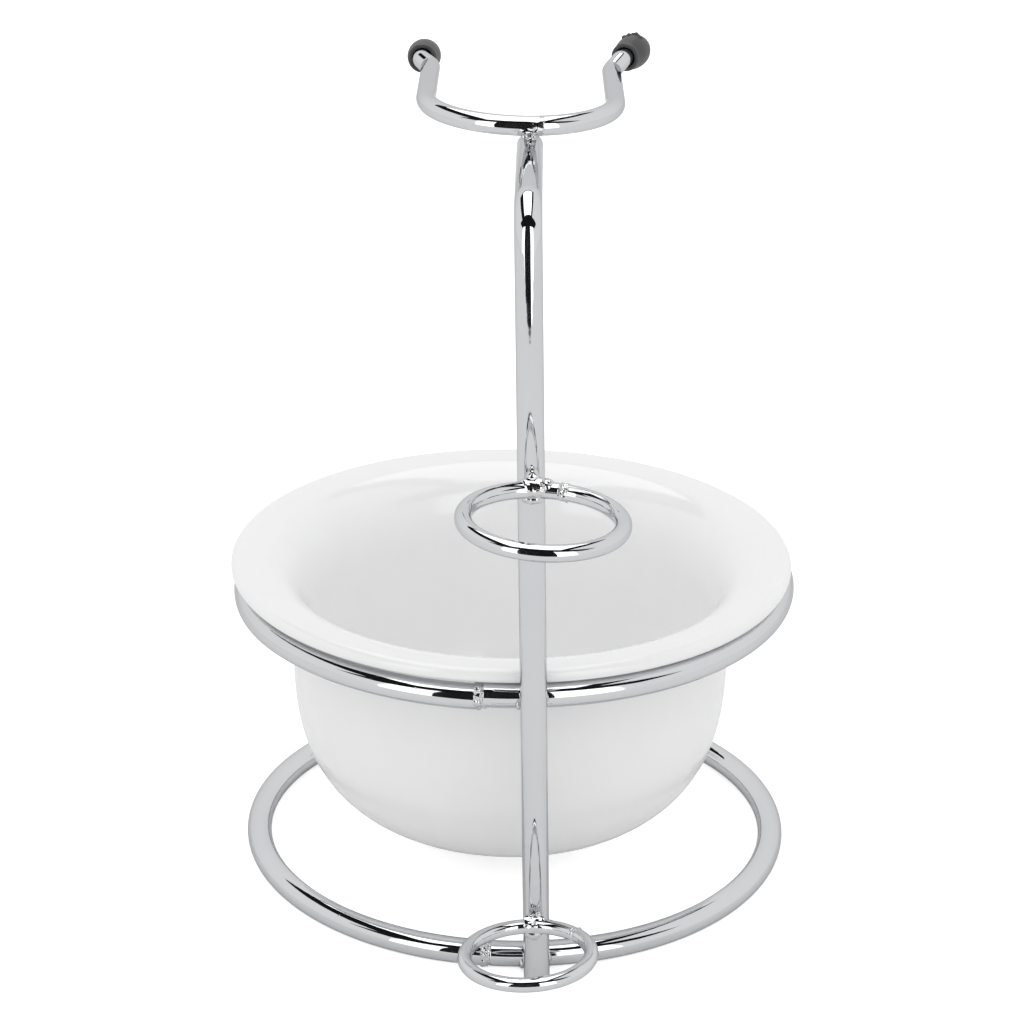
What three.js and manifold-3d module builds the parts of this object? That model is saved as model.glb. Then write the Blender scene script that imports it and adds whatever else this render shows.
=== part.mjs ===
// Wire shaving stand with a lift-out bowl, a brush fork and two small rings for a razor.
// Millimetres, +Z up. The post stands at the front (-Y) and the fork opens to the back (+Y).
// Everything is laid out about the middle of the base ring, and at the end the whole stand is
// moved so that the origin is at the middle of its footprint, on the floor.

import * as THREE from "three";
import { mergeVertices } from "three/addons/utils/BufferGeometryUtils.js";
import Module from "manifold-3d";

const wasm = await Module();
wasm.setup();

// ---- driving dimensions ----

const gap = 0.3; // air kept between pieces that touch on the real stand
const wireSides = 12;

const stockWire = 2.25; // radius of the 4.5 mm wire of the post and the two large rings
const baseRing = { x: 0, y: 0, radius: 48.1, wire: stockWire, steps: 60, seam: -95.5 };
const bowlRing = { x: -1.15, y: 1.25, z: 52.5, radius: 49.4, wire: stockWire, steps: 60, seam: -95.7 };
const razorRing = {
  x: 3.8, y: -69.25, z: 93.25, radius: 12.6, wire: 1.4, steps: 36, seam: 75.8, tiltX: 0.2, tiltY: 2.5,
};
const handleRing = {
  x: 2.3, y: -67.1, z: 13.4, radius: 10.6, wire: 1.25, steps: 32, seam: 39.7, tiltX: -3.8, tiltY: -3.0,
};
const endDrop = 0.5; // how far one cut end of the bowl ring hangs below the other
const seamOpening = 1.5; // distance between the two cut ends of a ring
const beadBulge = 1.06; // a seam bead's largest radius over the wire's

const post = {
  x: 4.0, y: -52.75, foot: 0.3, lean: 1.27, bendRadius: 6.5, endX: 1.3, overrun: 3.5, steps: 110,
};
const fork = { x: -0.35, y: -2.7, z: 142.95, radius: 16.3, wire: 1.7, steps: 64, roll: 1.15 };
// The fork's two arms were bent by hand and differ. Each runs back, jogs and ends in a straight tip.
const leftArm = { side: -1, inset: 0.975, length: 20.6, jogBack: 3.15, jogOut: 1.7, jogUp: 0.5, tip: 7.0 };
const rightArm = { side: 1, inset: 0.985, length: 21.4, jogBack: 3.15, jogOut: 1.7, jogUp: 1.15, tip: 8.0 };
const leftTip = new THREE.Vector3(0.05, 0.98, -0.14).normalize(); // the way each fork tip points
const rightTip = new THREE.Vector3(0.34, 0.94, 0).normalize();
const jogRadius = 2.3;

const cap = { mouth: 2.7, belly: 3.0, dome: 2.6, length: 9.0, bore: 2.05, boreDepth: 6.8, insertion: 5.9 };

const bowl = {
  x: bowlRing.x, y: bowlRing.y, wall: 2.6, lipRadius: 1.35, lipCentre: 49.65, lipHeight: 56.3,
  footOuter: 17.2, footInner: 13.6, footHeight: 4.6, base: 5.8, round: 48,
};

const weldSize = { large: 2.7, small: 2.1 };
const clearOfFloor = 0.1; // the weld and the seam bead of the base ring stop this far up

const chrome = { color: 0xc9cbcd, roughness: 0.1, metalness: 1 };
const rubber = { color: 0x2a2a2c, roughness: 0.6, metalness: 0 };
const glossWhite = { color: 0xf1f1ef, roughness: 0.15, metalness: 0 };

// ---- curves ----

const radians = THREE.MathUtils.degToRad;

// An arc in a horizontal plane, whose second end may hang lower than the first.
class Arc extends THREE.Curve {
  constructor(radius, startDegrees, endDegrees, drop = 0) {
    super();
    Object.assign(this, { radius, start: radians(startDegrees), end: radians(endDegrees), drop });
  }

  getPoint(t, target = new THREE.Vector3()) {
    const angle = this.start + (this.end - this.start) * t;
    const fall = this.drop * THREE.MathUtils.smoothstep(t, 0.7, 1);
    return target.set(this.radius * Math.cos(angle), this.radius * Math.sin(angle), -fall);
  }
}

// Straight runs through the points, with each inner corner rounded to an arc.
function bentLine(points, bendRadius) {
  const path = new THREE.CurvePath();
  let from = points[0];
  for (let i = 1; i < points.length - 1; i++) {
    const into = points[i].clone().sub(points[i - 1]).normalize();
    const out = points[i + 1].clone().sub(points[i]).normalize();
    const setback = bendRadius * Math.tan(into.angleTo(out) / 2);
    const handle = (4 / 3) * bendRadius * Math.tan(into.angleTo(out) / 4);
    const before = points[i].clone().addScaledVector(into, -setback);
    const after = points[i].clone().addScaledVector(out, setback);
    const leaving = before.clone().addScaledVector(into, handle);
    const arriving = after.clone().addScaledVector(out, -handle);
    path.add(new THREE.LineCurve3(from, before));
    path.add(new THREE.CubicBezierCurve3(before, leaving, arriving, after));
    from = after;
  }
  path.add(new THREE.LineCurve3(from, points[points.length - 1]));
  return path;
}

// ---- solids ----

// A round wire along a path. Its section has flats that face up and down on a level path.
function wire(path, radius, steps) {
  const corners = [];
  for (let i = 0; i < wireSides; i++) {
    const angle = ((i + 0.5) * 2 * Math.PI) / wireSides;
    corners.push(new THREE.Vector2(radius * Math.cos(angle), radius * Math.sin(angle)));
  }
  return new THREE.ExtrudeGeometry(new THREE.Shape(corners), { steps, extrudePath: path });
}

// A profile of (radius, height) points turned about +Z.
function turned(points, segments) {
  return new THREE.LatheGeometry(points, segments).rotateX(Math.PI / 2);
}

function toSolid(geometry) {
  const bare = geometry.index ? geometry.toNonIndexed() : geometry.clone();
  bare.deleteAttribute("normal");
  bare.deleteAttribute("uv");
  const merged = mergeVertices(bare, 1e-4);
  return new wasm.Manifold(
    new wasm.Mesh({
      numProp: 3,
      vertProperties: merged.attributes.position.array,
      triVerts: new Uint32Array(merged.index.array),
    }),
  );
}

function toGeometry(solid) {
  const mesh = solid.getMesh();
  const geometry = new THREE.BufferGeometry();
  geometry.setAttribute("position", new THREE.BufferAttribute(mesh.vertProperties, 3));
  geometry.setIndex(new THREE.BufferAttribute(mesh.triVerts, 1));
  return geometry;
}

function piece(name, geometry, finish) {
  const mesh = new THREE.Mesh(geometry, new THREE.MeshStandardMaterial(finish));
  mesh.name = name;
  return mesh;
}

// ---- rings ----

const flatHeight = (radius) => radius * Math.cos(Math.PI / wireSides);

// A ring's place and tilt, as a group that its wire and its seam bead share.
function ringFrame(ring) {
  const frame = new THREE.Group();
  frame.position.set(ring.x, ring.y, ring.z ?? flatHeight(ring.wire));
  frame.rotation.set(radians(ring.tiltX ?? 0), radians(ring.tiltY ?? 0), 0);
  return frame;
}

// The path of a ring's wire, open at the seam. It starts just past the seam.
function ringPath(ring, drop = 0) {
  const half = THREE.MathUtils.radToDeg(seamOpening / 2 / ring.radius);
  return new Arc(ring.radius, ring.seam + half, ring.seam + 360 - half, drop);
}

function ringWire(name, ring, drop = 0) {
  return piece(name, wire(ringPath(ring, drop), ring.wire, ring.steps), chrome);
}

// The weld bead that fills a ring's seam, ground flat where it would reach the floor.
function seamBead(name, ring, drop = 0) {
  const half = seamOpening / 2 - gap;
  const profile = [
    new THREE.Vector2(0, -half),
    new THREE.Vector2(ring.wire * 0.94, -half),
    new THREE.Vector2(ring.wire * beadBulge, 0),
    new THREE.Vector2(ring.wire * 0.94, half),
    new THREE.Vector2(0, half),
  ];
  const barrel = toSolid(turned(profile, wireSides).rotateX(Math.PI / 2));
  const level = ring.z === undefined ? clearOfFloor - flatHeight(ring.wire) : -ring.wire * 2;
  const bead = piece(name, toGeometry(barrel.trimByPlane([0, 0, 1], level)), chrome);
  const turn = radians(ring.seam);
  bead.position.set(ring.radius * Math.cos(turn), ring.radius * Math.sin(turn), -drop / 2);
  bead.rotation.z = turn;
  return bead;
}

// ---- post ----

const slope = Math.tan(radians(post.lean));
const postAt = (z) => new THREE.Vector3(post.x - slope * z, post.y, z);

// The post runs up, turns level over the bowl and ends just behind the front of the fork, which
// lies across it.
const forkFront = new THREE.Vector3(post.endX, fork.y - fork.radius, fork.z);
const levelRun = fork.z - fork.wire - gap - stockWire;
const postEnd = new THREE.Vector3(post.endX, forkFront.y + post.overrun, levelRun);
const postPath = bentLine([postAt(post.foot), postAt(levelRun), postEnd], post.bendRadius);

// ---- fork ----

// The fork's own frame has its origin at the middle of the arc. Each arm runs back from the
// arc, jogs outwards and up, and ends in a straight tip.
function armPoints(arm, tipWay) {
  const end = new THREE.Vector3(arm.side * fork.radius * arm.inset, arm.length, 0);
  const jog = end.clone().add(new THREE.Vector3(arm.side * arm.jogOut, arm.jogBack, arm.jogUp));
  const tip = jog.clone().addScaledVector(tipWay, arm.tip);
  return [new THREE.Vector3(arm.side * fork.radius, 0, 0), end, jog, tip];
}

const leftPoints = armPoints(leftArm, leftTip);
const rightPoints = armPoints(rightArm, rightTip);
const forkPath = new THREE.CurvePath();
forkPath.curves.push(...bentLine([...leftPoints].reverse(), jogRadius).curves);
forkPath.add(new Arc(fork.radius, 180, 360));
forkPath.curves.push(...bentLine(rightPoints, jogRadius).curves);

const forkFrame = new THREE.Group();
forkFrame.position.set(fork.x, fork.y, fork.z);
forkFrame.rotation.y = radians(fork.roll);

// A hollow push-on cap: a mouth, a fuller belly and a domed end.
function rubberCap(name, tipEnd, tipWay) {
  const outline = new THREE.Path();
  outline.moveTo(0, cap.boreDepth);
  outline.lineTo(cap.bore, cap.boreDepth);
  outline.lineTo(cap.bore + 0.1, 0);
  outline.lineTo(cap.mouth, 0);
  outline.quadraticCurveTo(cap.belly + 0.1, cap.length * 0.4, cap.belly, cap.length * 0.62);
  outline.quadraticCurveTo(cap.dome, cap.length, 0, cap.length);
  const body = piece(name, turned(outline.getPoints(5), 20), rubber);
  body.position.copy(tipEnd).addScaledVector(tipWay, -cap.insertion);
  body.quaternion.setFromUnitVectors(new THREE.Vector3(0, 0, 1), tipWay);
  return body;
}

// ---- bowl ----

// From the middle underneath, over the foot, up the wall, round the lip and down inside.
function bowlBody() {
  const lip = { low: bowl.lipHeight - bowl.lipRadius, high: bowl.lipHeight + bowl.lipRadius };
  const outline = new THREE.Path();
  outline.moveTo(0, bowl.base);
  outline.lineTo(bowl.footInner - 0.8, bowl.base);
  outline.lineTo(bowl.footInner, bowl.footHeight);
  outline.lineTo(bowl.footOuter - 0.7, bowl.footHeight);
  outline.lineTo(bowl.footOuter, bowl.base);
  outline.bezierCurveTo(39.0, 9.7, 41.5, 25.5, 39.4, 48.0);
  outline.bezierCurveTo(39.3, 52.5, 42.0, lip.low - 0.5, 46.5, lip.low);
  outline.lineTo(bowl.lipCentre, lip.low);
  outline.absarc(bowl.lipCentre, bowl.lipHeight, bowl.lipRadius, -Math.PI / 2, Math.PI / 2);
  outline.lineTo(44.8, lip.high - 0.6);
  outline.bezierCurveTo(39.5, lip.high - 1.6, 37.1, 53.0, 36.8, 47.5);
  outline.bezierCurveTo(38.8, 27.0, 36.6, 12.6, 17.0, bowl.base + bowl.wall);
  outline.lineTo(0, bowl.base + bowl.wall);
  const body = piece("bowl", turned(outline.getPoints(6), bowl.round), glossWhite);
  body.position.set(bowl.x, bowl.y, 0);
  return body;
}

// ---- welds ----

// A blob of weld where two wires cross, cut clear of both and of the floor.
function weld(name, centre, radius, ...wires) {
  let blob = toSolid(new THREE.SphereGeometry(radius, 14, 10)).translate(centre.toArray());
  blob = blob.trimByPlane([0, 0, 1], clearOfFloor);
  for (const neighbour of wires) blob = blob.subtract(neighbour);
  return piece(name, toGeometry(blob), chrome);
}

const postKeepOut = toSolid(wire(postPath, stockWire + gap, post.steps));

// The room that a ring or the fork takes up, with the gap round it, in the stand's own frame.
function keepOut(frame, path, radius, steps) {
  frame.updateMatrixWorld(true);
  return toSolid(wire(path, radius + gap, steps).applyMatrix4(frame.matrixWorld));
}

// The point between the post and a ring that touches it.
function contact(ring) {
  const z = ring.z ?? flatHeight(ring.wire);
  const onPost = postAt(z);
  const away = new THREE.Vector3(ring.x, ring.y, z).sub(onPost).normalize();
  return onPost.addScaledVector(away, stockWire + gap / 2);
}

function postWeld(name, ring, radius) {
  const ringRoom = keepOut(ringFrame(ring), ringPath(ring), ring.wire, ring.steps);
  return weld(name, contact(ring), radius, postKeepOut, ringRoom);
}

// ---- assembly ----

const stand = new THREE.Group();

function addRing(nodes, frame) {
  frame.add(...nodes);
  stand.add(frame);
}

addRing([ringWire("base_ring", baseRing), seamBead("seam_base_ring", baseRing)], ringFrame(baseRing));
addRing(
  [ringWire("bowl_ring", bowlRing, endDrop), seamBead("seam_bowl_ring", bowlRing, endDrop)],
  ringFrame(bowlRing),
);
addRing([ringWire("razor_ring", razorRing), seamBead("seam_razor_ring", razorRing)], ringFrame(razorRing));
addRing(
  [ringWire("handle_ring", handleRing), seamBead("seam_handle_ring", handleRing)],
  ringFrame(handleRing),
);

stand.add(piece("post", wire(postPath, stockWire, post.steps), chrome));

forkFrame.add(piece("brush_fork", wire(forkPath, fork.wire, fork.steps), chrome));
forkFrame.add(rubberCap("cap_left", leftPoints[3], leftTip));
forkFrame.add(rubberCap("cap_right", rightPoints[3], rightTip));
stand.add(forkFrame);

stand.add(bowlBody());

stand.add(postWeld("weld_base_ring", baseRing, weldSize.large));
stand.add(postWeld("weld_bowl_ring", bowlRing, weldSize.large));
stand.add(postWeld("weld_razor_ring", razorRing, weldSize.small));
stand.add(postWeld("weld_handle_ring", handleRing, weldSize.small));
const forkRoom = keepOut(forkFrame, forkPath, fork.wire, fork.steps);
const forkContact = forkFront.clone().add(new THREE.Vector3(0, -fork.wire, -fork.wire));
stand.add(weld("weld_fork", forkContact, weldSize.small, postKeepOut, forkRoom));

const footprint = new THREE.Box3().setFromObject(stand, true);
const middle = footprint.getCenter(new THREE.Vector3());
stand.position.set(-middle.x, -middle.y, -footprint.min.z);

export default stand;
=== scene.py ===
import math
import bpy
from mathutils import Matrix, Vector


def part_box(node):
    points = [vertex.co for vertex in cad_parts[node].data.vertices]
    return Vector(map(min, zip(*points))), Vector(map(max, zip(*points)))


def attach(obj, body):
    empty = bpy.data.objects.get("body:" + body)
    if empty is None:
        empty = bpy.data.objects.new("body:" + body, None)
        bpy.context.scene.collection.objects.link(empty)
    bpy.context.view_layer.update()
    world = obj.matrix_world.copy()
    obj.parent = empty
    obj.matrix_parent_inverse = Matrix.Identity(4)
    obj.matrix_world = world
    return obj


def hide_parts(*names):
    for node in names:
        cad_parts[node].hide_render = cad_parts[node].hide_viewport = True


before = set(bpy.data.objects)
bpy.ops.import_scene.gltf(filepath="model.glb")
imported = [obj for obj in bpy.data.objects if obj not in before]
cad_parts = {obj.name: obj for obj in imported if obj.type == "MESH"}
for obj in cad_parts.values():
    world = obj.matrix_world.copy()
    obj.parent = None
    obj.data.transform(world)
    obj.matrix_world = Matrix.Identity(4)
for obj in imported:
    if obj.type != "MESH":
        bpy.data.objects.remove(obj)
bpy.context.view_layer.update()                                # in metres, the post at the front (-Y), +Z up
mm = 0.001


def deselectAll():
    bpy.ops.object.select_all(action="DESELECT")


def middleOf(node):
    low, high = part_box(node)
    return (low + high) / 2


def startWire(name, at, along, thick, sides):    # a disc to pull the wire from
    deselectAll()
    facing = along.to_track_quat("Z", "Y").to_euler()
    bpy.ops.mesh.primitive_circle_add(vertices=sides, radius=thick, fill_type="NGON",
                                      location=at, rotation=facing)
    wire = bpy.context.object
    wire.name = wire.data.name = name
    bpy.ops.object.transform_apply(location=True, rotation=True, scale=True)
    bpy.ops.object.mode_set(mode="EDIT")
    bpy.ops.mesh.select_all(action="SELECT")
    return wire


def runOn(step):                                 # a straight run from the selected end
    bpy.ops.mesh.extrude_region_move(TRANSFORM_OT_translate={"value": step})


def bendRound(middle, axis, turn):               # spin turns left-handed, so the sign is changed
    steps = max(8, round(math.degrees(turn) / 2.5))
    bpy.ops.mesh.spin(steps=steps, angle=-turn, center=middle, axis=axis)


def breakEnds(wire, sides, width):               # the two cut ends lose their sharp edge
    bpy.ops.object.mode_set(mode="OBJECT")
    for vertex in wire.data.vertices:
        vertex.select = False
    for face in wire.data.polygons:
        face.select = len(face.vertices) == sides
        for corner in face.vertices if face.select else ():
            wire.data.vertices[corner].select = True
    bpy.ops.object.mode_set(mode="EDIT")
    bpy.ops.mesh.bevel(offset=width, segments=4, affect="EDGES")
    bpy.ops.mesh.select_all(action="SELECT")
    bpy.ops.mesh.normals_make_consistent(inside=False)
    bpy.ops.object.mode_set(mode="OBJECT")
    bpy.ops.object.shade_smooth_by_angle(angle=math.radians(50))


def bentWire(name, thick, corners, bends, sides=48, broken=0.35 * mm):
    wire = startWire(name, corners[0], corners[1] - corners[0], thick, sides)
    at = corners[0]
    for before, here, onward, radius in zip(corners, corners[1:], corners[2:], bends):
        way = (here - before).normalized()
        away = (onward - here).normalized()
        turn = way.angle(away)
        setback = radius * math.tan(turn / 2)
        axis = way.cross(away).normalized()
        bendStart = here - way * setback
        if (bendStart - at).length > 0.01 * mm:
            runOn(bendStart - at)
        bendRound(bendStart + axis.cross(way) * radius, axis, turn)
        at = here + away * setback
    runOn(corners[-1] - at)
    breakEnds(wire, sides, broken)
    return wire


def ringTilt(ring):
    tiltX = Matrix.Rotation(math.radians(ring.get("tiltX", 0)), 3, "X")
    return tiltX @ Matrix.Rotation(math.radians(ring.get("tiltY", 0)), 3, "Y")


def onRing(ring, degrees):                       # a point of the ring's centre line
    turn = math.radians(degrees)
    spoke = Vector((math.cos(turn), math.sin(turn), 0)) * ring["radius"]
    return ring["middle"] + ringTilt(ring) @ spoke


def alongRing(ring, degrees):                    # the way the wire runs there
    turn = math.radians(degrees)
    return ringTilt(ring) @ Vector((-math.sin(turn), math.cos(turn), 0))


def ringWire(name, ring, sides=48):
    half = math.degrees(ring["opening"] / 2 / ring["radius"])
    start = ring["seam"] + half
    wire = startWire(name, onRing(ring, start), alongRing(ring, start), ring["thick"], sides)
    axis = ringTilt(ring) @ Vector((0, 0, 1))
    bendRound(ring["middle"], axis, math.radians(360 - 2 * half))
    if ring.get("drop"):                         # one cut end was welded on a little low
        bpy.ops.transform.translate(value=(0, 0, -ring["drop"]), use_proportional_edit=True,
                                    use_proportional_connected=True,
                                    proportional_edit_falloff="SMOOTH",
                                    proportional_size=ring["dropReach"])
    if ring.get("flatAt"):                       # bent by hand, so not quite round
        nearest = onRing(ring, ring["flatAt"])
        bpy.ops.mesh.select_mode(type="VERT")
        bpy.ops.mesh.select_all(action="DESELECT")
        bpy.ops.object.mode_set(mode="OBJECT")
        for vertex in wire.data.vertices:
            vertex.select = (vertex.co - nearest).length < 1.2 * ring["thick"]
        bpy.ops.object.mode_set(mode="EDIT")
        bpy.ops.transform.translate(value=ring["flatBy"], use_proportional_edit=True,
                                    use_proportional_connected=True,
                                    proportional_edit_falloff="SMOOTH",
                                    proportional_size=ring["flatReach"])
    breakEnds(wire, sides, 0.3 * mm)
    return wire


def turnProfile(name, outline, steps):           # outline of (radius, height), turned about +Z
    deselectAll()
    bpy.ops.mesh.primitive_plane_add(size=mm)
    piece = bpy.context.object
    piece.name = piece.data.name = name
    bpy.ops.object.mode_set(mode="EDIT")
    bpy.ops.mesh.select_all(action="SELECT")
    bpy.ops.mesh.merge(type="CENTER")
    bpy.ops.transform.translate(value=(outline[0][0], 0, outline[0][1]))
    for (fromR, fromZ), (toR, toZ) in zip(outline, outline[1:]):
        runOn((toR - fromR, 0, toZ - fromZ))
    bpy.ops.mesh.select_all(action="SELECT")
    bpy.ops.mesh.spin(steps=steps, angle=math.tau, center=(0, 0, 0), axis=(0, 0, 1))
    bpy.ops.mesh.select_all(action="SELECT")
    bpy.ops.mesh.remove_doubles(threshold=0.002 * mm)
    bpy.ops.mesh.normals_make_consistent(inside=False)
    bpy.ops.object.mode_set(mode="OBJECT")
    bpy.ops.object.shade_smooth_by_angle(angle=math.radians(40))
    return piece


def bezier(start, pullStart, pullEnd, end, count):    # the points after the start, up to the end
    points = []
    for i in range(1, count + 1):
        t = i / count
        weights = ((1 - t) ** 3, 3 * t * (1 - t) ** 2, 3 * t * t * (1 - t), t ** 3)
        corners = (start, pullStart, pullEnd, end)
        points.append(tuple(sum(w * c[k] for w, c in zip(weights, corners)) for k in (0, 1)))
    return points


def arc(middle, radius, fromDegrees, toDegrees, count):
    points = []
    for i in range(count + 1):
        turn = math.radians(fromDegrees + (toDegrees - fromDegrees) * i / count)
        points.append((middle[0] + radius * math.cos(turn), middle[1] + radius * math.sin(turn)))
    return points


def inMetres(points):
    return [(r * mm, z * mm) for r, z in points]


def joinParts(parts):                            # several parts made one mesh
    deselectAll()
    for part in parts:
        part.select_set(True)
    bpy.context.view_layer.objects.active = parts[0]
    bpy.ops.object.join()
    bpy.ops.object.transform_apply(location=True, rotation=True, scale=True)
    return bpy.context.object


def layPiece(piece, turn, at):                   # puts a piece built at the origin in its place
    deselectAll()
    piece.select_set(True)
    bpy.context.view_layer.objects.active = piece
    piece.rotation_euler = turn
    piece.location = at
    bpy.ops.object.transform_apply(location=True, rotation=True, scale=True)


def weldMetal(name, dabs, stubs, look):          # dabs of metal and wire stubs, melted together
    deselectAll()
    parts = []
    for at, size in dabs:
        bpy.ops.mesh.primitive_ico_sphere_add(subdivisions=4, radius=1, location=at, scale=size)
        parts.append(bpy.context.object)
    for at, along, thick, length in stubs:
        bpy.ops.mesh.primitive_cylinder_add(vertices=48, radius=thick, depth=length, location=at,
                                            rotation=along.to_track_quat("Z", "Y").to_euler())
        parts.append(bpy.context.object)
    weld = joinParts(parts)
    weld.name = weld.data.name = name
    weld.data.remesh_voxel_size = look["voxel"]
    bpy.ops.object.voxel_remesh()
    melt = weld.modifiers.new("melt", "SMOOTH")
    melt.factor = 0.5
    melt.iterations = look["melt"]
    bpy.ops.object.modifier_apply(modifier="melt")
    for size, height in look["lumps"]:
        grain = bpy.data.textures.new(f"{name}Lumps", "CLOUDS")
        grain.noise_scale = size
        grain.noise_depth = 1
        lumps = weld.modifiers.new("lumps", "DISPLACE")
        lumps.texture = grain
        lumps.texture_coords = "LOCAL"
        lumps.strength = height
        lumps.mid_level = 0.5
        bpy.ops.object.modifier_apply(modifier="lumps")
    bpy.ops.object.shade_smooth()
    return weld


def colour(code):                                # sRGB hex to linear
    parts = [int(code[i:i + 2], 16) / 255 for i in (1, 3, 5)]
    return [p / 12.92 if p <= 0.04045 else ((p + 0.055) / 1.055) ** 2.4 for p in parts] + [1]


def addNode(tree, kind, settings=None, links=None):
    node = tree.nodes.new(kind)
    for key, value in (settings or {}).items():
        if isinstance(key, str) and hasattr(node, key):
            setattr(node, key, value)
        else:
            node.inputs[key].default_value = value
    for socket, source in (links or {}).items():
        tree.links.new(source, node.inputs[socket])
    return node


def newMaterial(name):
    material = bpy.data.materials.new(name)
    material.use_nodes = True
    tree = material.node_tree
    tree.nodes.clear()
    place = addNode(tree, "ShaderNodeTexCoord").outputs["Object"]
    return material, tree, place


def finishMaterial(tree, settings, links):
    surface = addNode(tree, "ShaderNodeBsdfPrincipled", settings, links)
    addNode(tree, "ShaderNodeOutputMaterial", None, {"Surface": surface.outputs["BSDF"]})


def chromePlate(name, look):
    # bright nickel-chrome plate over drawn steel wire: a mirror that is slightly uneven, because
    # the plate follows the drawn wire under it, with a few pits and hazy finger marks
    material, tree, place = newMaterial(name)
    wave = addNode(tree, "ShaderNodeTexNoise", {"Scale": 1 / look["wave"], "Detail": 1.0},
                   {"Vector": place})
    haze = addNode(tree, "ShaderNodeTexNoise", {"Scale": 1 / look["haze"], "Detail": 3.0},
                   {"Vector": place})
    pits = addNode(tree, "ShaderNodeTexVoronoi", {"Scale": 1 / look["pitSpacing"]},
                   {"Vector": place})
    pitShape = addNode(tree, "ShaderNodeMapRange",
                       {"From Min": 0.0, "From Max": look["pitSize"]},
                       {"Value": pits.outputs["Distance"]})
    rough = addNode(tree, "ShaderNodeMapRange",
                    {"From Min": 0.35, "From Max": 0.75, "To Min": look["rough"][0],
                     "To Max": look["rough"][1]}, {"Value": haze.outputs["Fac"]})
    tint = addNode(tree, "ShaderNodeMix",
                   {"data_type": "RGBA", 6: colour(look["colours"][0]),
                    7: colour(look["colours"][1])}, {0: haze.outputs["Fac"]})
    wavy = addNode(tree, "ShaderNodeBump", {"Strength": 1.0, "Distance": look["waveHeight"]},
                   {"Height": wave.outputs["Fac"]})
    pitted = addNode(tree, "ShaderNodeBump", {"Strength": 1.0, "Distance": look["pitDepth"]},
                     {"Height": pitShape.outputs["Result"], "Normal": wavy.outputs["Normal"]})
    finishMaterial(tree, {"Metallic": 1.0, "Specular Tint": look["grazing"]},
                   {"Base Color": tint.outputs[2], "Roughness": rough.outputs["Result"],
                    "Normal": pitted.outputs["Normal"]})
    return material


def mouldedRubber(name, look):
    # compression-moulded black nitrile rubber: dull, with a dusty bloom and a fine grain
    material, tree, place = newMaterial(name)
    bloom = addNode(tree, "ShaderNodeTexNoise", {"Scale": 1 / look["bloom"], "Detail": 4.0},
                    {"Vector": place})
    grain = addNode(tree, "ShaderNodeTexNoise", {"Scale": 1 / look["grain"], "Detail": 2.0},
                    {"Vector": place})
    tint = addNode(tree, "ShaderNodeMix",
                   {"data_type": "RGBA", 6: colour(look["colours"][0]),
                    7: colour(look["colours"][1])}, {0: bloom.outputs["Fac"]})
    rough = addNode(tree, "ShaderNodeMapRange",
                    {"To Min": look["rough"][0], "To Max": look["rough"][1]},
                    {"Value": bloom.outputs["Fac"]})
    skin = addNode(tree, "ShaderNodeBump", {"Strength": 1.0, "Distance": look["grainHeight"]},
                   {"Height": grain.outputs["Fac"]})
    finishMaterial(tree, {"IOR": 1.52},
                   {"Base Color": tint.outputs[2], "Roughness": rough.outputs["Result"],
                    "Normal": skin.outputs["Normal"]})
    return material


def glossPlastic(name, look):
    # injection-moulded white ABS: glossy, with the faint slow swell of a moulded wall
    material, tree, place = newMaterial(name)
    swell = addNode(tree, "ShaderNodeTexNoise", {"Scale": 1 / look["swell"], "Detail": 1.0},
                    {"Vector": place})
    wear = addNode(tree, "ShaderNodeTexNoise", {"Scale": 1 / look["wear"], "Detail": 5.0},
                   {"Vector": place})
    specks = addNode(tree, "ShaderNodeTexVoronoi", {"Scale": 1 / look["speckSpacing"]},
                     {"Vector": place})
    speck = addNode(tree, "ShaderNodeMapRange",
                    {"From Min": look["speckSize"] * 0.5, "From Max": look["speckSize"]},
                    {"Value": specks.outputs["Distance"]})
    tint = addNode(tree, "ShaderNodeMix",
                   {"data_type": "RGBA", 6: colour(look["colours"][0]),
                    7: colour(look["colours"][1])}, {0: wear.outputs["Fac"]})
    specked = addNode(tree, "ShaderNodeMix",
                      {"data_type": "RGBA", 6: colour(look["speckColour"])},
                      {0: speck.outputs["Result"], 7: tint.outputs[2]})
    rough = addNode(tree, "ShaderNodeMapRange",
                    {"From Min": 0.3, "From Max": 0.75, "To Min": look["rough"][0],
                     "To Max": look["rough"][1]}, {"Value": wear.outputs["Fac"]})
    skin = addNode(tree, "ShaderNodeBump", {"Strength": 1.0, "Distance": look["swellHeight"]},
                   {"Height": swell.outputs["Fac"]})
    finishMaterial(tree, {"IOR": 1.53, "Subsurface Weight": 0.08, "Subsurface Scale": 1.5 * mm,
                          "Subsurface Radius": (1.0, 0.95, 0.9)},
                   {"Base Color": specked.outputs[2], "Roughness": rough.outputs["Result"],
                    "Normal": skin.outputs["Normal"]})
    return material


wirePlate = chromePlate("chromePlatedWire", {
    "wave": 3 * mm, "waveHeight": 0.018 * mm, "haze": 7 * mm,
    "pitSpacing": 4 * mm, "pitSize": 0.045, "pitDepth": 0.02 * mm,
    "rough": (0.03, 0.08), "colours": ("#d8dadd", "#dddedf"), "grazing": (0.72, 0.72, 0.73, 1),
})
weldPlate = chromePlate("chromePlatedWeld", {
    "wave": 1.2 * mm, "waveHeight": 0.05 * mm, "haze": 2 * mm,
    "pitSpacing": 1.1 * mm, "pitSize": 0.12, "pitDepth": 0.05 * mm,
    "rough": (0.04, 0.14), "colours": ("#d2d3d4", "#dddddd"), "grazing": (0.72, 0.72, 0.73, 1),
})
capRubber = mouldedRubber("mouldedBlackRubber", {
    "bloom": 1.6 * mm, "grain": 0.16 * mm, "grainHeight": 0.012 * mm,
    "rough": (0.34, 0.5), "colours": ("#2a2a2b", "#474749"),
})
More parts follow.
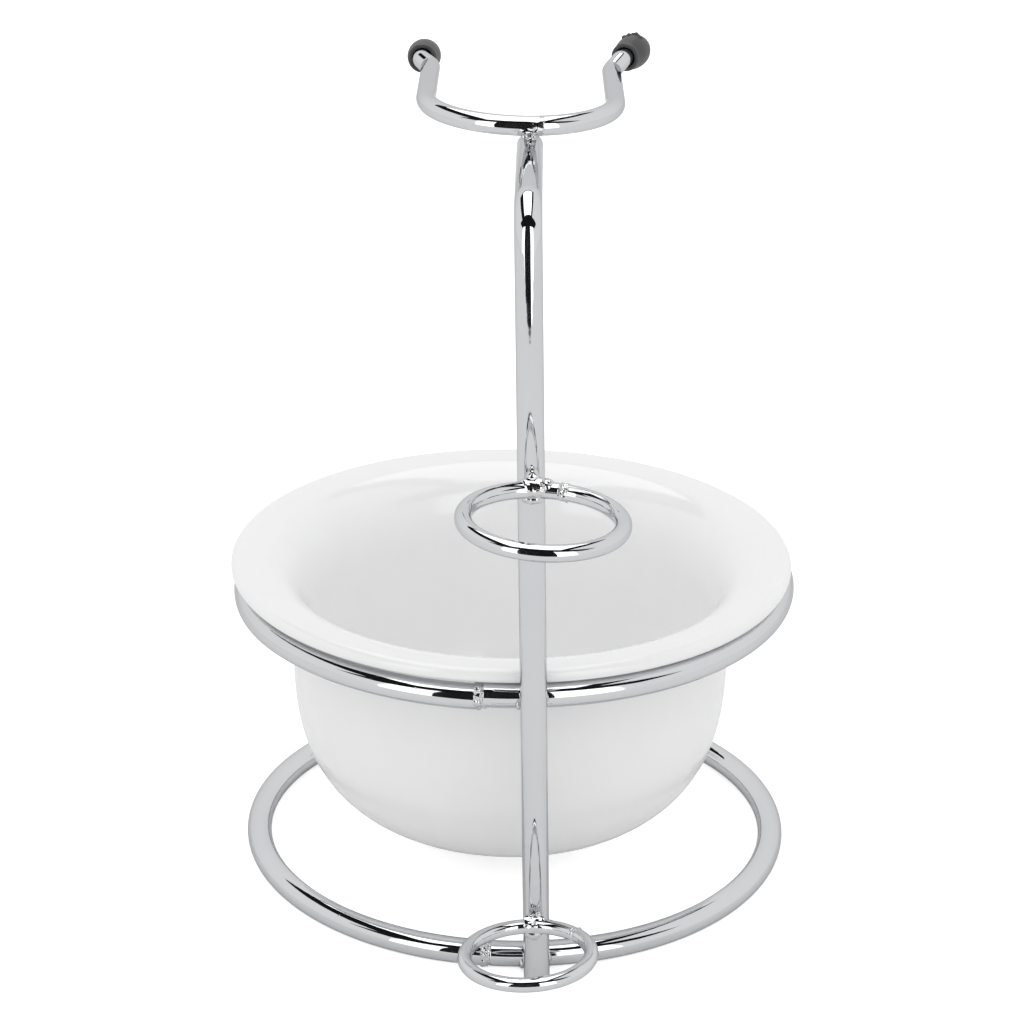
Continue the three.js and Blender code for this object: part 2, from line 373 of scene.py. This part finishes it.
bowlPlastic = glossPlastic("glossMouldedPlastic", {
    "swell": 22 * mm, "swellHeight": 0.03 * mm, "wear": 9 * mm,
    "speckSpacing": 24 * mm, "speckSize": 0.014, "speckColour": "#b9b7b2",
    "rough": (0.09, 0.15), "colours": ("#f9f9fa", "#fdfdfd"),
})
print("materials ready")


stock = 2.25 * mm                                # the 4.5 mm wire of the post and the big rings
shift = Vector((1.15 * mm, 15.17 * mm, 0))       # from the layout drawing to the stand's frame
baseRing = {"middle": Vector((0, 0, stock)) + shift, "radius": 48.1 * mm, "thick": stock,
            "seam": -95.5, "opening": 1.0 * mm}
bowlRing = {"middle": Vector((-1.15, 1.25, 52.5)) * mm + shift, "radius": 49.4 * mm,
            "thick": stock, "seam": -95.7, "opening": 0.8 * mm, "drop": 0.5 * mm,
            "dropReach": 75 * mm, "flatAt": 176, "flatBy": (1.35 * mm, -0.3 * mm, -0.1 * mm),
            "flatReach": 34 * mm}
razorRing = {"middle": Vector((3.8, -69.25, 93.25)) * mm + shift, "radius": 12.6 * mm,
             "thick": 1.4 * mm, "seam": 75.8, "opening": 0.6 * mm, "tiltX": 0.2, "tiltY": 2.5}
handleRing = {"middle": Vector((2.3, -67.1, 13.4)) * mm + shift, "radius": 10.6 * mm,
              "thick": 1.25 * mm, "seam": 39.7, "opening": 0.6 * mm, "tiltX": -3.8, "tiltY": -3.0}

wires = {name: ringWire(name + "_wire", ring) for name, ring in (
    ("base_ring", baseRing), ("bowl_ring", bowlRing),
    ("razor_ring", razorRing), ("handle_ring", handleRing))}
print("rings bent")

post = {"foot": Vector((4.0, -52.75, 0.3)) * mm + shift, "lean": 1.27, "bend": 6.5 * mm,
        "level": 138.7 * mm, "end": Vector((1.3, -15.5, 138.7)) * mm + shift,
        "broken": 0.5 * mm}


def postAt(height):                              # the post leans to the left a little
    left = math.tan(math.radians(post["lean"])) * height
    return Vector((post["foot"].x - left, post["foot"].y, height))


wires["post"] = bentWire("post_wire", stock, [post["foot"], postAt(post["level"]), post["end"]],
                         [post["bend"]], broken=post["broken"])

fork = {"middle": Vector((-0.35, -2.7, 142.95)) * mm + shift, "radius": 16.3 * mm,
        "thick": 1.7 * mm, "roll": 1.15, "jogBack": 3.15 * mm, "jogOut": 1.7 * mm,
        "jogBend": 2.3 * mm}
leftArm = {"side": -1, "inset": 0.975, "length": 20.6 * mm, "jogUp": 0.5 * mm, "tip": 7.0 * mm,
           "way": Vector((0.05, 0.98, -0.14)).normalized()}
rightArm = {"side": 1, "inset": 0.985, "length": 21.4 * mm, "jogUp": 1.15 * mm, "tip": 8.0 * mm,
            "way": Vector((0.34, 0.94, 0)).normalized()}
forkRoll = Matrix.Rotation(math.radians(fork["roll"]), 3, "Y")


def forkPoint(x, y, z):                          # from the fork's own frame to the stand's
    return fork["middle"] + forkRoll @ Vector((x, y, z))


def forkArm(arm):                                # from the arm's end to its tip
    x = arm["side"] * fork["radius"] * arm["inset"]
    jog = Vector((x + arm["side"] * fork["jogOut"], arm["length"] + fork["jogBack"],
                  arm["jogUp"]))
    tip = jog + arm["way"] * arm["tip"]
    return [forkPoint(x, arm["length"], 0), forkPoint(*jog), forkPoint(*tip)]


wide = fork["radius"]
jogBend = fork["jogBend"]
quarterBend = wide * 0.999                       # two of them make the half ring
forkCorners = [*reversed(forkArm(leftArm)), forkPoint(-wide, -wide, 0),
               forkPoint(wide, -wide, 0), *forkArm(rightArm)]
forkBends = [jogBend, jogBend, quarterBend, quarterBend, jogBend, jogBend]
wires["brush_fork"] = bentWire("brush_fork_wire", fork["thick"], forkCorners, forkBends)

for node, wire in wires.items():
    wire.data.materials.append(wirePlate)
    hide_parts(node)
    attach(wire, "stand")
print("post and fork bent")


collar = {"voxel": 0.1 * mm, "melt": 3,          # lumps as (size, height)
          "lumps": ((0.8 * mm, 0.5 * mm), (0.35 * mm, 0.14 * mm))}
fillet = {"voxel": 0.1 * mm, "melt": 7, "lumps": ((1.2 * mm, 0.3 * mm),)}
sideways, upwards = Vector((1, 0, 0)), Vector((0, 0, 1))
shrunk = 0.93                                    # a stub hidden in the wire it holds on to


def seamWeld(node, ring, width):                 # a lumpy collar where the two cut ends meet
    at = onRing(ring, ring["seam"]) - Vector((0, 0, ring.get("drop", 0) / 2))
    along = alongRing(ring, ring["seam"])
    stubs = [(at, along, ring["thick"] * 0.95, ring["opening"] + 1.2 * mm),
             (at - along * width * 0.35, along, ring["thick"] * 1.05, width)]
    return weldMetal(node + "_metal", [], stubs, collar)


def crossWeld(node, ring, lumps):                # lumps as (sideways, away from the post, up), size
    onPost = postAt(ring["middle"].z)
    away = (ring["middle"] - onPost).normalized()
    turned = Matrix((sideways, away, upwards)).transposed()
    contact = onPost + away * stock
    dabs = [(contact + turned @ (Vector(at) * mm), Vector(size) * mm) for at, size in lumps]
    stubs = [(onPost, upwards, stock * shrunk, 4 * mm),
             (contact + away * ring["thick"], sideways, ring["thick"] * shrunk, 3.5 * mm)]
    return weldMetal(node + "_metal", dabs, stubs, fillet)


besidePost = [((0, 0.4, 0), (2.3, 1.3, 1.5)), ((-2.3, 0.5, -0.7), (0.6, 1.0, 1.1)),
              ((2.3, 0.6, 0.3), (0.5, 0.8, 0.8))]
onRazorRing = [((0, 1.6, 0.4), (2.9, 1.9, 1.8)), ((-0.1, 0.7, 1.6), (1.2, 1.3, 1.8)),
               ((1.9, 1.5, 0.4), (1.8, 1.5, 1.5)), ((-0.1, 1.4, -1.3), (2.1, 1.6, 1.1))]
onHandleRing = [((0, 1.5, -0.5), (2.7, 1.6, 1.3)), ((-0.1, 1.7, -1.8), (1.6, 1.4, 1.2)),
                ((-0.5, 0.9, 0.8), (0.7, 0.8, 0.7)), ((0.6, 0.7, 0.9), (0.6, 0.7, 0.9)),
                ((2.4, 1.8, -0.5), (1.8, 1.3, 1.2))]
onFork = [((0, -0.2, 0.1), (1.5, 1.6, 0.5)), ((-0.9, -1.3, 0.5), (0.6, 0.5, 0.5)),
          ((0.5, -1.4, 0.6), (0.4, 0.4, 0.4))]
welds = {node: seamWeld(node, ring, width) for node, ring, width in (
    ("seam_base_ring", baseRing, 1.2 * mm), ("seam_bowl_ring", bowlRing, 1.2 * mm),
    ("seam_razor_ring", razorRing, 1.3 * mm), ("seam_handle_ring", handleRing, 0.6 * mm))}
for node, ring, lumps in (
        ("weld_base_ring", baseRing, besidePost), ("weld_bowl_ring", bowlRing, besidePost),
        ("weld_razor_ring", razorRing, onRazorRing),
        ("weld_handle_ring", handleRing, onHandleRing)):
    welds[node] = crossWeld(node, ring, lumps)
forkFront = forkPoint(0, -wide, 0)               # the fork lies across the post's level end
crossing = Vector((post["end"].x, forkFront.y, post["level"] + stock))
forkDabs = [(crossing + Vector(at) * mm, Vector(size) * mm) for at, size in onFork]
forkStub = (forkFront + Vector((crossing.x, 0, 0)), sideways, fork["thick"] * shrunk, 3 * mm)
welds["weld_fork"] = weldMetal("weld_fork_metal", forkDabs, [forkStub], fillet)
floorGap = 0.06 * mm


def trimAtFloor(weld):                           # nothing of a weld reaches the table
    deselectAll()
    weld.select_set(True)
    bpy.context.view_layer.objects.active = weld
    bpy.ops.object.mode_set(mode="EDIT")
    bpy.ops.mesh.select_all(action="DESELECT")
    bpy.ops.object.mode_set(mode="OBJECT")
    for vertex in weld.data.vertices:
        vertex.select = vertex.co.z < floorGap
    bpy.ops.object.mode_set(mode="EDIT")
    bpy.ops.transform.resize(value=(1, 1, 0), center_override=(0, 0, floorGap))
    bpy.ops.object.mode_set(mode="OBJECT")


trimAtFloor(welds["seam_base_ring"])
trimAtFloor(welds["weld_base_ring"])
for node, weld in welds.items():
    weld.data.materials.append(weldPlate)
    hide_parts(node)
    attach(weld, "stand")
print("welds laid")


cap = {"mouth": 2.55, "lip": 0.38, "neck": 2.42, "belly": 3.0, "dome": 2.6, "length": 9.0,
       "bore": 1.9, "boreDepth": 6.8, "insertion": 5.9 * mm}
flash = {"bits": 7, "from": 50, "step": 11, "out": 2.9 * mm, "up": 5.5 * mm, "wander": 0.5 * mm,
         "size": 0.42 * mm, "uneven": 0.1 * mm, "voxel": 0.08 * mm}


def capOutline():                                # from the bore, round the lip, to the dome
    lip, neck, belly, dome = (cap[part] for part in ("lip", "neck", "belly", "dome"))
    top = cap["length"]
    wallTop = top - 1.9
    points = [(0, cap["boreDepth"]), (cap["bore"] * 0.8, cap["boreDepth"]),
              (cap["bore"], cap["boreDepth"] - 0.4), (cap["mouth"] - 2 * lip, lip * 1.3)]
    points += arc((cap["mouth"] - lip, lip), lip, 180, 395, 12)
    points += bezier(points[-1], (neck, lip * 2.1), (neck, lip * 2.4), (neck + 0.05, lip * 3), 4)
    points += bezier(points[-1], (neck + 0.3, 2.2), (belly, 3.2), (belly, 4.7), 8)
    points += bezier(points[-1], (belly, 5.6), (belly - 0.05, 6.2), (dome, wallTop), 6)
    points += bezier(points[-1], (dome - 0.25, wallTop + 1.3), (1.3, top), (0, top), 10)
    return inMetres(points)


def tornFlash(rubberCap):                        # what the mould's parting line left on one cap
    bits = []
    for i in range(flash["bits"]):
        turn = math.radians(flash["from"] + flash["step"] * i)
        at = Vector((math.cos(turn) * flash["out"], math.sin(turn) * flash["out"],
                     flash["up"] + flash["wander"] * math.sin(5 * i)))
        size = flash["size"] + flash["uneven"] * math.sin(3 * i + 1)
        bpy.ops.mesh.primitive_ico_sphere_add(subdivisions=3, radius=size, location=at)
        bits.append(bpy.context.object)
    torn = joinParts(bits)
    torn.data.remesh_voxel_size = flash["voxel"]
    bpy.ops.object.voxel_remesh()
    bpy.ops.object.shade_smooth()
    joinParts([rubberCap, torn])


for arm, node in ((leftArm, "cap_left"), (rightArm, "cap_right")):
    rubberCap = turnProfile(node + "_rubber", capOutline(), 64)
    if arm is rightArm:
        tornFlash(rubberCap)
    way = forkRoll @ arm["way"]
    layPiece(rubberCap, way.to_track_quat("Z", "Y").to_euler(),
             forkArm(arm)[-1] - way * cap["insertion"])
    rubberCap.data.materials.append(capRubber)
    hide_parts(node)
    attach(rubberCap, "stand")
print("caps pushed on")


bowl = {"wall": 2.6, "lip": 1.35, "lipAt": 49.65, "rim": 56.3, "footOuter": 17.2,
        "footInner": 13.6, "foot": 4.6, "base": 5.8, "steps": 160,
        "outside": ((39.0, 9.7), (41.5, 25.5), (39.4, 48.0)),
        "inside": ((37.9, 27.0), (36.4, 12.5)), "throat": (37.6, 45.5)}


def bowlOutline():                               # middle underneath, wall, lip, down inside
    low = bowl["rim"] - bowl["lip"]
    high = bowl["rim"] + bowl["lip"]
    foot, base, inner, outer = (bowl[part] for part in ("foot", "base", "footInner", "footOuter"))
    floor = base + bowl["wall"]
    points = [(0, base), (inner - 1.6, base), (inner - 0.6, base - 0.25), (inner, foot + 0.3),
              (inner + 0.35, foot), (outer - 0.9, foot), (outer - 0.3, foot + 0.25),
              (outer, base - 0.1)]
    points += bezier(points[-1], *bowl["outside"], 28)
    points += bezier(points[-1], (39.3, 52.5), (42.0, low - 0.5), (46.5, low), 10)
    points += arc((bowl["lipAt"], bowl["rim"]), bowl["lip"], -90, 90, 14)
    points += bezier(points[-1], (48.0, high), (46.4, high - 0.2), (44.8, high - 0.6), 5)
    points += bezier(points[-1], (41.6, high - 1.6), (38.0, 53.2), bowl["throat"], 18)
    points += bezier(points[-1], *bowl["inside"], (17.0, floor + 0.2), 28)
    points += bezier(points[-1], (12.0, floor), (6.0, floor), (0, floor), 6)
    return inMetres(points)


bowlShell = turnProfile("bowl_shell", bowlOutline(), bowl["steps"])
layPiece(bowlShell, (0, 0, 0), Vector((*middleOf("bowl").xy, 0)))
bowlShell.data.materials.append(bowlPlastic)
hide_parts("bowl")
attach(bowlShell, "bowl")
print("bowl turned")


studio = {"surround": 0.86, "mirrored": 0.9, "seen": 1.0, "topGlow": 2.2, "frontGlow": 2.0,
          "floorLift": 0.62, "topLight": 0.2, "topLightAt": (0, 0.19, 1.0),
          "topLightSize": (1.1, 1.3)}
view = {"lens": 106.65, "sensor": 36, "at": Vector((0.05, -491.4, 278.32)) * mm,
        "lookDown": 22.775, "roll": 0.01}        # degrees down, radians of roll


def paperFloor():                                # white paper, its shadows kept faint in view
    material, tree, place = newMaterial("whitePaper")
    fibre = addNode(tree, "ShaderNodeTexNoise", {"Scale": 1 / (2.5 * mm)}, {"Vector": place})
    tint = addNode(tree, "ShaderNodeMix",
                   {"data_type": "RGBA", 6: colour("#f6f6f6"), 7: colour("#f9f9f9")},
                   {0: fibre.outputs["Fac"]})
    seen = addNode(tree, "ShaderNodeLightPath")
    lift = addNode(tree, "ShaderNodeMath", {"operation": "MULTIPLY", 1: studio["floorLift"]},
                   {0: seen.outputs["Is Camera Ray"]})
    finishMaterial(tree, {"Roughness": 0.9, "Specular IOR Level": 0.1,
                          "Emission Color": (1, 1, 1, 1)},
                   {"Base Color": tint.outputs[2], "Emission Strength": lift.outputs[0]})
    return material


def glowing(name, strength):                     # what the chrome mirrors, lit or unlit
    material, tree, _ = newMaterial(name)
    glow = addNode(tree, "ShaderNodeEmission", {"Strength": strength, "Color": (1, 1, 1, 1)})
    addNode(tree, "ShaderNodeOutputMaterial", None, {"Surface": glow.outputs[0]})
    return material


def card(name, nearEdge, farEdge, material, onlyMirrored=True):    # a flat sheet of the studio
    (left, nearY, nearZ), (right, farY, farZ) = nearEdge, farEdge
    deselectAll()
    bpy.ops.mesh.primitive_plane_add(
        size=1, location=((left + right) / 2, (nearY + farY) / 2, (nearZ + farZ) / 2),
        rotation=(math.atan2(farZ - nearZ, farY - nearY), 0, 0))
    sheet = bpy.context.object
    sheet.name = sheet.data.name = name
    sheet.scale = (right - left, math.hypot(farY - nearY, farZ - nearZ), 1)
    bpy.ops.object.transform_apply(location=True, rotation=True, scale=True)
    sheet.data.materials.append(material)
    if onlyMirrored:
        sheet.visible_camera = False
        sheet.visible_diffuse = False
        sheet.visible_shadow = False
        sheet.visible_transmission = False


blackCloth = glowing("blackCloth", 0.01)         # each sheet from its near left to its far right
card("floor", (-3, -0.375, 0), (3, 5, 0), paperFloor(), onlyMirrored=False)
card("frontBox", (-1.43, -1.2, -0.45), (1.12, -1.2, 1.2),
     glowing("brightSheet", studio["frontGlow"]))
card("operator", (-0.5, -0.9, -0.5), (0.275, -0.9, 1.24), blackCloth)
card("darkGap", (-1.7, -1.2, 1.2), (1.7, -0.45, 1.02), blackCloth)
card("topSheet", (-0.48, -0.4, 1.0), (0.32, 0.8, 1.0), glowing("topSheet", studio["topGlow"]))
card("topFrame", (-1.0, -0.5, 1.01), (0.5, 0.9, 1.01), blackCloth)

bpy.ops.object.light_add(type="AREA", location=studio["topLightAt"])
topBox = bpy.context.object
topBox.name = "topBox"
topBox.data.shape = "RECTANGLE"
topBox.data.size, topBox.data.size_y = studio["topLightSize"]
topBox.data.energy = studio["topLight"] * math.pi * topBox.data.size * topBox.data.size_y
topBox.visible_camera = False
topBox.visible_glossy = False

world = bpy.data.worlds.new("studioWalls")
bpy.context.scene.world = world
world.use_nodes = True
walls = world.node_tree
walls.nodes.clear()
ray = addNode(walls, "ShaderNodeLightPath")
shades = {part: addNode(walls, "ShaderNodeBackground",
                        {"Strength": studio[part], "Color": (1, 1, 1, 1)}).outputs[0]
          for part in ("surround", "mirrored", "seen")}
inMetal = addNode(walls, "ShaderNodeMixShader", None, {
    0: ray.outputs["Is Glossy Ray"], 1: shades["surround"], 2: shades["mirrored"]})
either = addNode(walls, "ShaderNodeMixShader", None, {
    0: ray.outputs["Is Camera Ray"], 1: inMetal.outputs[0], 2: shades["seen"]})
addNode(walls, "ShaderNodeOutputWorld", None, {"Surface": either.outputs[0]})
bpy.context.scene.view_settings.view_transform = "Standard"

camera = bpy.data.objects.new("camera", bpy.data.cameras.new("camera"))
bpy.context.scene.collection.objects.link(camera)
camera.data.sensor_width = view["sensor"]
camera.data.lens = view["lens"]
lookDown = Matrix.Rotation(math.radians(90 - view["lookDown"]), 3, "X")
camera.rotation_euler = (lookDown @ Matrix.Rotation(view["roll"], 3, "Z")).to_euler()
camera.location = view["at"]
bpy.context.scene.camera = camera
print("studio set")
